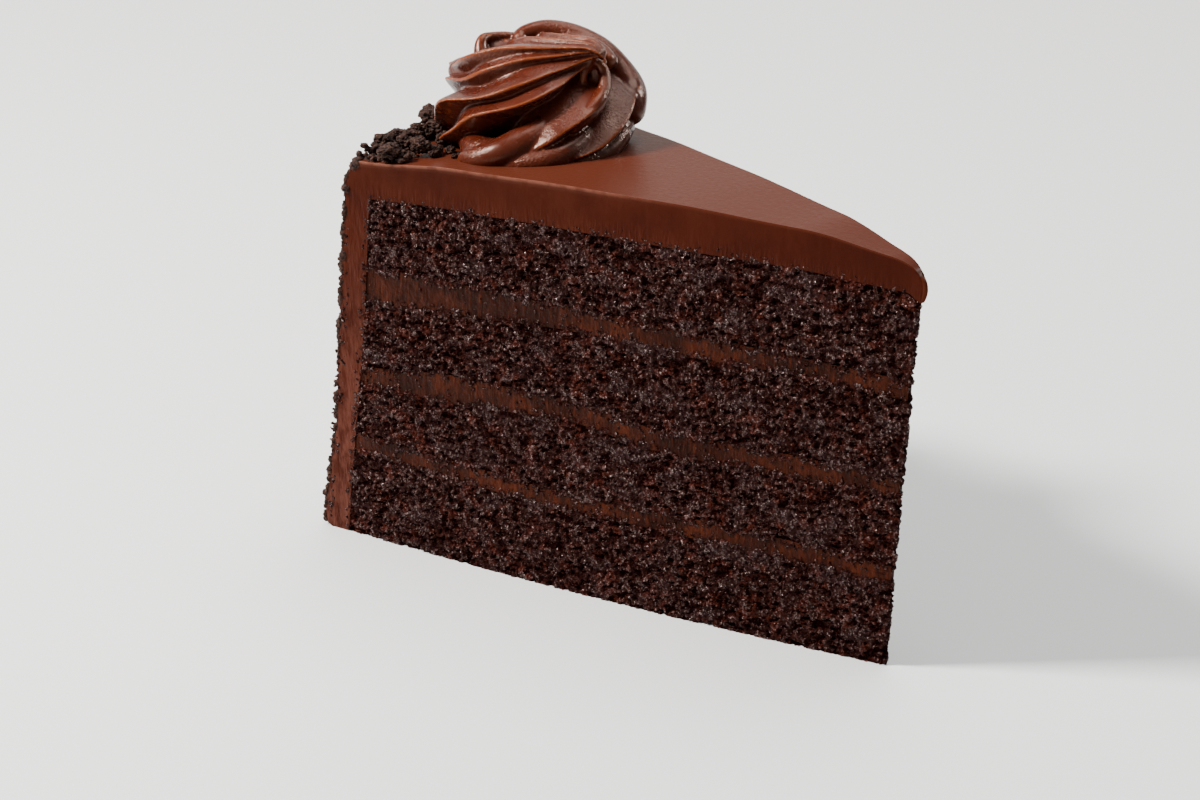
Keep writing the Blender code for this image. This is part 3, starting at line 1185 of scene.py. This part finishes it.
    def world(self, right: float, away: float, up: float) -> Vector:
        """Finds a point of the rosette in the slice's frame.

        Args:
            right: Millimetres to the right.
            away: Millimetres away.
            up: Millimetres up.

        Returns:
            The point.
        """
        c = math.cos(self.heading)
        s = math.sin(self.heading)
        return Vector((self.x + (right * c - away * s) * MM, self.y + (right * s + away * c) * MM,
                       self.floor + up * MM))

    def crest(self, share: float) -> float:
        """Shapes a ridge, slightly rounded on top.

        Args:
            share: Share of the way across the ridge.

        Returns:
            The height there, from 0 to 1.
        """
        off = 1.0 - abs(2.0 * (share % 1.0) - 1.0)
        rounded = math.sqrt(off * off + 0.01) - 0.1
        return max(0.0, 1.0 - rounded / 0.905) ** self.sharpness

    def ring(self, share: float) -> list[Vector]:
        """Draws one ring of the star.

        Args:
            share: Share of the way from the foot to the eye.

        Returns:
            The points of the ring.
        """
        radius, height, offset, tilt, twist = smooth_path(self.drop, share)
        tilt = math.radians(tilt)
        c, s = math.cos(self.eye_heading), math.sin(self.eye_heading)
        deep = self.depth * (0.45 + 0.55 * min(1.0, share / 0.12))
        deep += (self.eye_depth - self.depth) * float(smooth_step((share - 0.45) / 0.3))
        points = []
        for k, (start, stand) in enumerate(self.ridges):
            end, next_stand = self.ridges[(k + 1) % len(self.ridges)]
            gap = (end - start) % 360.0
            for i in range(self.ridge_points):
                f = i / self.ridge_points
                valley = deep * (gap / 42.0) ** 1.2 * (1.0 - self.crest(f))
                reach = radius * (stand + (next_stand - stand) * float(smooth_step(f)))
                reach *= 1.0 - min(valley, 0.8)
                angle = math.radians(start + gap * f + twist) - self.eye_heading
                fore = offset + reach * math.cos(angle) * math.cos(tilt)
                side = reach * math.sin(angle)
                right = self.drop_shift[0] + fore * c - side * s
                away = self.drop_shift[1] + fore * s + side * c
                up = height - reach * math.cos(angle) * math.sin(tilt)
                points.append(self.world(right, away, max(up, -0.5)))
        return points

    def build_drop(self) -> Piece:
        """Draws the star up ring by ring from a circle.

        Returns:
            The star as a mesh.
        """
        count = len(self.ridges) * self.ridge_points
        deselect()
        bpy.ops.mesh.primitive_circle_add(vertices=count, radius=1.0, fill_type="NGON")
        obj = bpy.context.active_object
        extrude_up(self.rings, 1.0)
        points = points_of(obj)
        level = np.rint(points[:, 2]).astype(int)
        angle = np.arctan2(points[:, 1], points[:, 0])
        turn = np.rint(angle / (2.0 * math.pi) * count).astype(int) % count
        table = np.array([[tuple(p) for p in self.ring(k / self.rings)]
                          for k in range(self.rings + 1)])
        set_points(obj, table[level, turn])
        return obj

    def draw_outline(self, depth: float) -> Piece:
        """Draws the closed star that a fold is swept with.

        Args:
            depth: Depth of the star's ridges as a share of its radius.

        Returns:
            The star as a curve.
        """
        outline = bpy.data.curves.new("star outline", "CURVE")
        outline.dimensions = "2D"
        spline = outline.splines.new("POLY")
        count = self.coil_ridges * self.ridge_points
        spline.points.add(count - 1)
        for i, point in enumerate(spline.points):
            low = depth * (1.0 - self.crest(i / self.ridge_points))
            reach = self.outline_reach * (1.0 - low)
            angle = 2.0 * math.pi * i / count
            point.co = (reach * math.cos(angle), reach * math.sin(angle), 0.0, 1.0)
        spline.use_cyclic_u = True
        star = bpy.data.objects.new("star outline", outline)
        bpy.context.scene.collection.objects.link(star)
        return star

    def build_fold(self, depth: float, stations: Rows) -> Piece:
        """Sweeps a star outline along a fold of the coil.

        Args:
            depth: Depth of the star's ridges as a share of its radius.
            stations: Places and radii along the fold.

        Returns:
            The fold as a mesh.
        """
        star = self.draw_outline(depth)
        path = bpy.data.curves.new("fold", "CURVE")
        path.dimensions = "3D"
        path.twist_mode = "MINIMUM"
        path.bevel_mode = "OBJECT"
        path.bevel_object = star
        path.use_fill_caps = True
        spline = path.splines.new("POLY")
        last = self.fold_steps - 1
        spline.points.add(last)
        swept = np.array([smooth_path(stations, i / last) for i in range(self.fold_steps)])
        strides = np.linalg.norm(np.diff(swept[:, :3], axis=0), axis=1)
        walked = np.concatenate([[0.0], np.cumsum(strides)])
        to_end = np.minimum(walked, walked[-1] - walked)
        short = np.clip(1.0 - to_end / swept[:, 3], 0.0, 0.98)
        for point, (right, away, up, radius), cut in zip(spline.points, swept, short):
            point.co = (*self.world(right, away, up), 1.0)
            point.radius = radius * math.sqrt(1.0 - cut * cut) * MM / self.outline_reach
        obj = bpy.data.objects.new("fold", path)
        bpy.context.scene.collection.objects.link(obj)
        make_active(obj)
        bpy.ops.object.convert(target="MESH")
        bpy.data.objects.remove(star)
        obj = bpy.context.active_object
        points = points_of(obj)
        points[:, 2] = np.maximum(points[:, 2], self.floor - 0.5 * MM)
        set_points(obj, points)
        return obj

    def build(self, material: Material) -> None:
        """Builds both parts, melts them into one body and dresses it.

        Args:
            material: Its finish.
        """
        drop = self.build_drop()
        folds = [self.build_fold(depth, stations) for depth, stations in self.folds]
        make_active(drop)
        for fold in folds:
            fold.select_set(True)
        bpy.ops.object.join()
        obj = bpy.context.active_object
        obj.name = obj.data.name = "piped_rosette"
        melt = obj.modifiers.new("melt", "REMESH")
        melt.mode = "VOXEL"
        melt.voxel_size = self.voxel
        soften = obj.modifiers.new("soften", "SMOOTH")
        soften.factor = 0.5
        soften.iterations = 3
        apply_modifiers(obj)
        close_and_shade(obj, 70.0)
        finish_piece(obj, material, "frosting", "rosette")


# ---- crumbs


@dataclass
class CrumbShapes:
    """A few crumb shapes, each modelled once from a ball and then copied."""

    kinds: int
    subdivisions: int
    seed: int
    roughness: float = 0.55
    pits: float = 0.0
    kept: float = 1.0

    def build_shape(self, rng: random.Random) -> Shape:
        """Models one shape.

        Args:
            rng: Source of its unevenness.

        Returns:
            Its points and triangles, about one unit across.
        """
        deselect()
        bpy.ops.mesh.primitive_ico_sphere_add(subdivisions=self.subdivisions, radius=0.5)
        obj = bpy.context.active_object
        for kind, size, share in (("CLOUDS", 0.9, 0.55), ("CLOUDS", 0.35, 0.28),
                                  ("CLOUDS", 0.15, 0.2), ("VORONOI", 0.13, self.pits)):
            if share == 0.0:
                continue
            texture = bpy.data.textures.new("lump", kind)
            texture.noise_scale = size
            lump = obj.modifiers.new("lump", "DISPLACE")
            lump.texture = texture
            lump.texture_coords = "GLOBAL"
            lump.strength = self.roughness * share * (2.0 if kind == "CLOUDS" else -1.0)
        if self.kept < 1.0:
            thin = obj.modifiers.new("fewer faces", "DECIMATE")
            thin.ratio = self.kept
        obj.location = [rng.uniform(-50.0, 50.0) for _ in range(3)]
        apply_modifiers(obj)
        stretch = np.array([rng.uniform(*span)
                            for span in ((0.95, 1.15), (0.8, 1.0), (0.75, 0.95))])
        points = points_of(obj)
        points = points - (points.max(axis=0) + points.min(axis=0)) / 2.0
        points *= stretch / (points[:, :2].max() - points[:, :2].min())
        faces = np.array([polygon.vertices[:] for polygon in obj.data.polygons])
        bpy.data.objects.remove(obj)
        return points, faces

    def build(self) -> list[Shape]:
        """Models all the shapes."""
        rng = random.Random(self.seed)
        return [self.build_shape(rng) for _ in range(self.kinds)]


def scatter(name: str, kinds: CrumbShapes, places: list[Place]) -> Piece:
    """Joins turned copies of a few shapes into one piece.

    Args:
        name: Name of the piece.
        kinds: The shapes to copy.
        places: The middle, the width and the flatness of each copy.

    Returns:
        The joined piece.
    """
    shapes = kinds.build()
    rng = random.Random(kinds.seed)
    all_points = []
    all_faces = []
    start = 0
    for k, (middle, size, flatness) in enumerate(places):
        points, faces = shapes[k % len(shapes)]
        turn = np.array((Matrix.Rotation(rng.uniform(0, 6.283), 3, "Z")
                         @ Matrix.Rotation(rng.uniform(-0.6, 0.6), 3, "X")
                         @ Matrix.Rotation(rng.uniform(0, 6.283), 3, "Z")))
        turned = points @ turn.T * size
        turned[:, 2] *= flatness
        all_points.append(turned + np.array(middle))
        all_faces.append(faces + start)
        start += len(points)
    return mesh_from_arrays(name, np.concatenate(all_points), np.concatenate(all_faces))


@dataclass
class CookieCrumbs:
    """Cookie crumbs in a ragged border on top of the rim, and small ones on the rim's wall."""

    wedge: Wedge
    heights: Boundaries
    seed: int = 7
    large_crumbs: int = 36
    small_crumbs: int = 430
    wall_crumbs: int = 3300
    wall_clusters: int = 150
    wall_sizes: tuple[float, ...] = (0.8, 1.1, 1.1, 1.5, 2.2)
    wall_low: float = 1.2 * MM
    wall_high: float = 91.0 * MM
    corner_crumbs: int = 90
    filling_specks: int = 120
    frosting_specks: int = 45
    rim_specks: int = 190
    # x, y and width in millimetres, then flatness, of the crumbs listed one by one
    front_chunks: Rows = (
        (-51.4, -28.0, 7.4, 0.62), (-48.6, -21.4, 5.8, 0.95), (-58.4, -23.1, 5.0, 0.8),
        (-55.4, -19.3, 5.4, 0.8), (-62.6, -4.4, 6.4, 0.95), (-56.2, -8.6, 6.0, 0.85),
        (-46.4, -18.8, 3.8, 0.8), (-50.4, -12.4, 4.6, 0.8), (-60.4, -10.9, 4.4, 0.8),
        (-44.3, -16.5, 2.9, 0.8), (-61.6, -16.2, 4.2, 0.7), (-40.2, -19.0, 2.4, 0.8),
        (-35.6, -20.1, 2.7, 0.8), (-41.3, -16.1, 1.8, 0.8), (-49.6, -26.6, 1.6, 0.8),
        (-47.7, -25.4, 1.3, 0.8), (-54.2, -26.0, 3.4, 0.8), (-58.4, -27.2, 1.8, 0.8),
        (-44.8, -20.6, 3.0, 0.8),
    )

    def top_at(self, radius: float) -> float:
        """Height of the top of the frosting at a distance from the tip."""
        return float(along(self.heights.frosting_top, 1.0 - radius / self.wedge.cut_length))

    def wall_at(self, z: float) -> float:
        """Radius of the rim's wall at a height, drawn in where the top's edge is rounded."""
        return float(self.wedge.rim_outside(z)) - 3.0 * MM * smooth_step((z / MM - 83.5) / 9.0) ** 2

    def spot(self, radius: float, t: float, z: float) -> Vector:
        """A point on the wedge."""
        return Vector(self.wedge.place(radius, t, z))

    def face_spot(self, radius: float, side: float, z: float, out: float) -> Vector:
        """A point just off one of the cut faces."""
        return self.spot(radius, side, z) + Vector(self.wedge.outward(radius, side)) * out

    def large_places(self, rng: random.Random) -> list[Place]:
        """Sets the large crumbs: some listed one by one, then a ragged row along the rim.

        Args:
            rng: Source of the unevenness.

        Returns:
            The place of each crumb.
        """
        large = []
        for x, y, size, flatness in self.front_chunks:
            size *= MM
            z = 92.5 * MM + size * flatness * 0.40
            large.append((Vector((x * MM, y * MM, z)), size, flatness))
        t = -0.45
        while t < 0.95:
            corner = float(smooth_step((t - 0.35) / 0.6))
            for _ in range(rng.choice((1, 1, 2)) + round(corner)):
                size = rng.uniform(3.0, 5.8) * MM
                inward = rng.uniform(0.0, 1.0) * (3.5 + 7.5 * corner)
                radius = self.wedge.cut_length - 2.4 * MM - inward * MM
                z = self.top_at(radius) + 0.3 * size
                large.append((self.spot(radius, min(t, 0.90), z), size, rng.uniform(0.7, 0.95)))
            t += rng.uniform(2.6, 4.6) * MM / self.wedge.half_width
        return large[:self.large_crumbs]

    def small_places(self, rng: random.Random) -> list[Place]:
        """Sets the small crumbs between and around the large ones.

        Args:
            rng: Source of the unevenness.

        Returns:
            The place of each crumb.
        """
        small = []
        for _ in range(self.small_crumbs):
            t = rng.uniform(-1.0, 1.0)
            corner = float(smooth_step((abs(t) - 0.35) / 0.6))
            inward = rng.uniform(0.0, 1.0) ** 1.4 * (5.0 + 8.0 * corner)
            radius = self.wedge.cut_length - 0.6 * MM - inward * MM
            size = rng.uniform(0.7, 2.3) * MM
            z = self.top_at(radius) + rng.uniform(0.2, 0.5) * size
            z += rng.uniform(0.0, 1.0) ** 3 * 2.5 * MM
            small.append((self.spot(radius, t * 0.985, z), size, 0.9))
        return small

    def build_border(self, material: Material) -> None:
        """Builds the border of large and small crumbs on the rim of the top.

        Args:
            material: Its finish.
        """
        rng = random.Random(self.seed)
        large = self.large_places(rng)
        small = self.small_places(rng)
        chunks = scatter("border_chunks", CrumbShapes(7, 5, self.seed, pits=0.22), large)
        finish_piece(chunks, material, "crumb", "crumb_border")
        bits = scatter("border_bits", CrumbShapes(6, 3, self.seed + 1), small)
        finish_piece(bits, material, "crumb")

    def build_bed(self, material: Material) -> None:
        """Builds the lumpy bed of fine crumbs that the border stands in.

        Args:
            material: Its finish.
        """
        bed = unit_block("border_bed", 46, 300, 2)
        share, t, w = points_of(bed).T
        corner = smooth_step((np.abs(t) - 0.35) / 0.6)
        reach = (4.2 + 6.5 * corner) * (1.0 + ragged(t * 31.0, 5.0, 0.25))
        radius = self.wedge.cut_length - (1.4 + reach * share) * MM
        base = along(self.heights.frosting_top, 1.0 - radius / self.wedge.cut_length)
        ends = np.sqrt(np.clip((0.985 - np.abs(t)) / 0.03, 0.0, 1.0))
        heap = np.sin(np.pi * np.clip(share, 0.0, 1.0)) ** 0.5 * ends
        z = base + (-1.0 + w * (0.9 + 0.9 * heap)) * MM
        set_points(bed, self.wedge.place(radius, t * 0.975, z))
        for size, strength in ((3.2, 2.4), (1.1, 1.5), (0.5, 0.8)):
            texture = bpy.data.textures.new("heap", "CLOUDS")
            texture.noise_scale = size * MM
            lump = bed.modifiers.new("heap", "DISPLACE")
            lump.texture = texture
            lump.strength = strength * MM
            lump.mid_level = 0.55
        apply_modifiers(bed)
        close_and_shade(bed, 60.0)
        finish_piece(bed, material, "crumb")

    def build_wall(self, material: Material) -> None:
        """Builds the small crumbs pressed on the rim's wall, thickest along its upright edges.

        Args:
            material: Its finish.
        """
        rng = random.Random(self.seed + 2)
        places = []
        clusters = [(rng.uniform(2.0, 89.0) * MM, rng.uniform(-1.0, 1.0))
                    for _ in range(self.wall_clusters)]
        for k in range(self.wall_crumbs):
            z = rng.uniform(self.wall_low, self.wall_high)
            t = rng.uniform(-1.0, 1.0)
            if k % 5 == 0:
                t = rng.choice((-1.0, 1.0)) * (1.0 - 0.14 * rng.uniform(0.0, 1.0) ** 2)
            elif k % 5 < 4:
                heart = rng.choice(clusters)
                z = heart[0] + rng.gauss(0.0, 2.4) * MM
                z = min(max(z, self.wall_low), self.wall_high)
                t = min(max(heart[1] + rng.gauss(0.0, 0.08), -1.0), 1.0)
            size = rng.uniform(0.8, 1.2) * rng.choice(self.wall_sizes) * MM
            widest = 1.0 - 0.5 * max(size - 0.7 * MM, 0.0) / self.wedge.half_width
            t = min(max(t, -widest), widest)
            z = max(z, 0.65 * size)
            places.append((self.spot(self.wall_at(z) + 0.16 * size, t, z), size, 1.0))
        for _ in range(self.corner_crumbs):
            z = (91.0 - 46.0 * rng.uniform(0.0, 1.0) ** 1.6) * MM
            size = rng.uniform(1.6, 3.0) * MM
            t = rng.choice((-1.0, 1.0)) * rng.uniform(0.945, 0.985)
            places.append((self.spot(self.wall_at(z) - 0.05 * size, t, z), size, 1.0))
        kinds = CrumbShapes(8, 2, self.seed + 3, kept=0.6)
        finish_piece(scatter("wall_crumbs", kinds, places), material, "crumb")

    def build_smears(self, material: Material) -> None:
        """Builds the specks that the knife dragged over the frosting and the fillings.

        Args:
            material: Its finish.
        """
        rng = random.Random(self.seed + 4)
        places = []
        for side in (-1.0, 1.0):
            for foot, top in self.heights.fillings:
                for _ in range(self.filling_specks):
                    u = rng.uniform(0.0, 0.98)
                    low, high = float(along(foot, u)), float(along(top, u))
                    z = low + (high - low) * rng.uniform(0.0, 1.0)
                    radius = float(self.wedge.rim_inside(z)) * (1.0 - u)
                    spot = self.face_spot(radius, side, z, -0.30 * MM)
                    places.append((spot, rng.uniform(0.35, 1.05) * MM, 1.0))
            for _ in range(self.frosting_specks):
                u = rng.uniform(0.0, 0.97)
                z = float(along(self.heights.frosting_foot, u))
                z += rng.uniform(-0.5, 1.0) ** 3 * 1.6 * MM
                radius = self.wedge.cut_length * (1.0 - u)
                spot = self.face_spot(radius, side, z, -0.12 * MM)
                places.append((spot, rng.uniform(0.35, 0.9) * MM, 1.0))
            for _ in range(self.rim_specks):
                z = rng.uniform(1.0, 78.5) * MM
                off = rng.choice((rng.uniform(-0.8, 0.8), rng.uniform(4.0, 6.6)))
                radius = float(self.wedge.rim_inside(z)) + off * MM
                spot = self.face_spot(radius, side, z, -0.15 * MM)
                places.append((spot, rng.uniform(0.4, 1.3) * MM, 1.0))
        kinds = CrumbShapes(8, 2, self.seed + 5, kept=0.5)
        finish_piece(scatter("specks", kinds, places), material, "sponge")


# ---- stage


@dataclass
class Studio:
    """A plain pale floor, soft lights and the camera."""

    azimuth: float = math.radians(43.2)
    elevation: float = math.radians(21.89)
    distance: float = 0.672
    target: Vector = Vector((-0.0140, -0.0006, 0.0379))

    def direction(self, right: float, near: float, up: float) -> Vector:
        """Turns a vector from the view's axes to the scene's.

        Args:
            right: Its part to the right.
            near: Its part towards the camera.
            up: Its part up.

        Returns:
            The vector.
        """
        c = math.cos(self.azimuth)
        s = math.sin(self.azimuth)
        return Vector((right * c + near * s, right * s - near * c, up))

    def build_floor(self) -> None:
        """Lays the floor."""
        deselect()
        bpy.ops.mesh.primitive_plane_add(size=6.0)
        floor = bpy.context.active_object
        floor.name = "floor"
        material, _, shader = new_material("pale floor")
        shader.inputs["Base Color"].default_value = (0.78, 0.775, 0.765, 1.0)
        shader.inputs["Roughness"].default_value = 0.6
        floor.data.materials.append(material)

    def build_light(self, name: str, place: Vector, size: tuple[float, float], power: float,
                    colour: Colour) -> Piece:
        """Hangs a soft box that looks at the slice.

        Args:
            name: Name of the light.
            place: Its middle.
            size: Its width and height.
            power: Its power in watts.
            colour: Its colour.

        Returns:
            The light.
        """
        light = bpy.data.lights.new(name, "AREA")
        light.shape = "RECTANGLE"
        light.size = size[0]
        light.size_y = size[1]
        light.energy = power
        light.color = colour
        lamp = bpy.data.objects.new(name, light)
        lamp.location = place
        aim = Vector((0.0, 0.0, 0.06)) - place
        lamp.rotation_euler = aim.to_track_quat("-Z", "Y").to_euler()
        bpy.context.scene.collection.objects.link(lamp)
        return lamp

    def build_lights(self) -> None:
        """Sets the soft lights, one of them for glints alone, and the even surroundings."""
        for name, place, size, power, colour in (
            ("key", (-0.80, 0.05, 0.85), (0.20, 0.20), 36.0, (1.0, 0.985, 0.96)),
            ("top", (0.15, -0.25, 1.20), (0.8, 0.8), 13.0, (1.0, 1.0, 1.0)),
            ("back", (0.05, -0.90, 0.42), (1.6, 0.75), 5.0, (1.0, 0.955, 0.89)),
            ("glints", (0.80, -0.22, 0.60), (0.18, 0.24), 11.0, (1.0, 1.0, 1.0)),
        ):
            lamp = self.build_light(name, self.direction(*place), size, power, colour)
            lamp.visible_diffuse = name != "glints"
        world = bpy.data.worlds.new("studio")
        world.use_nodes = True
        background = world.node_tree.nodes["Background"]
        background.inputs["Color"].default_value = (0.90, 0.93, 0.96, 1.0)
        background.inputs["Strength"].default_value = 0.30
        bpy.context.scene.world = world

    def build_camera(self) -> None:
        """Places the camera."""
        lens = bpy.data.cameras.new("camera")
        lens.lens = 90.0
        lens.sensor_width = 36.0
        lens.clip_start = 0.01
        camera = bpy.data.objects.new("camera", lens)
        level = self.direction(0.0, 1.0, 0.0) * math.cos(self.elevation)
        back = level + Vector((0.0, 0.0, math.sin(self.elevation)))
        camera.location = self.target + back * self.distance
        camera.rotation_euler = (math.pi / 2 - self.elevation, 0.0, self.azimuth)
        bpy.context.scene.collection.objects.link(camera)
        bpy.context.scene.camera = camera

    def build(self) -> None:
        """Builds the whole stage."""
        self.build_floor()
        self.build_lights()
        self.build_camera()


def main() -> None:
    """Builds the slice and its stage."""
    logging.basicConfig(level=logging.INFO, format="%(name)s: %(message)s")
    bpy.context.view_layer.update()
    Studio().build()
    wedge = Wedge()
    heights = Boundaries()
    open_crumb = CrumbRelief().build()
    knife = KnifeRelief().build()

    sponge = SpongeFinish().build()
    for number, (foot, top) in enumerate(heights.sponges, start=1):
        SpongeLayer(wedge, number, foot, top, open_crumb).build(sponge)

    fudge = fudge_finish()
    for number, (foot, top) in enumerate(heights.fillings, start=1):
        Filling(wedge, number, foot, top, knife).build(fudge)

    frosting = frosting_finish()
    TopFrosting(wedge, heights, knife).build(frosting)
    RimFrosting(wedge, heights, knife).build(frosting)
    Rosette().build(piped_finish())

    cookie = CookieFinish().build()
    crumbs = CookieCrumbs(wedge, heights)
    crumbs.build_border(cookie)
    crumbs.build_bed(cookie)
    crumbs.build_wall(cookie)
    crumbs.build_smears(sponge)


if __name__ == "__main__":
    main()
